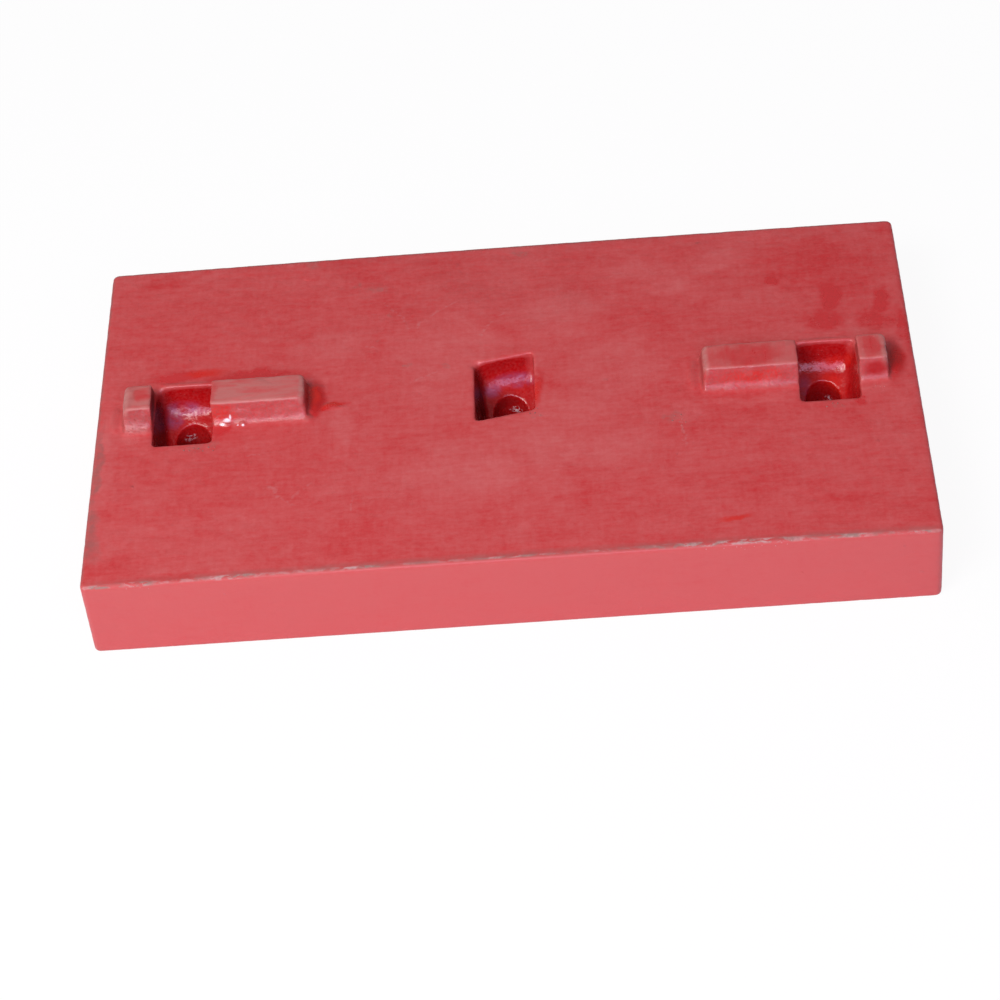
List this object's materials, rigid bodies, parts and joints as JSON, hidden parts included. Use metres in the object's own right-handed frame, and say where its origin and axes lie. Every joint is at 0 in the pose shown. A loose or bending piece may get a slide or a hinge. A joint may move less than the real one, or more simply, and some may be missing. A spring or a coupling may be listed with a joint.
{
  "type": "impact crusher blow bar",
  "caption": "Cast blow bar for an impact crusher: a thick plate with a locking rail at each end, handling pockets with lifting holes, and a red painted finish.",
  "frame": {"origin": "middle of the flat back face, which the bar lies on", "axes": "+X along the bar; +Y across the bar, from the wear edge near the picture's viewer to the far one; +Z out of the front face, towards the locking rails"},
  "size_m": [0.75, 0.42, 0.102],
  "materials": {
    "casting": "glossy red enamel brushed over an as-cast surface, ground lug tops, chipped edge"
  },
  "bodies": {
    "root": {"blow_bar": "casting"}
  },
  "joints": []
}
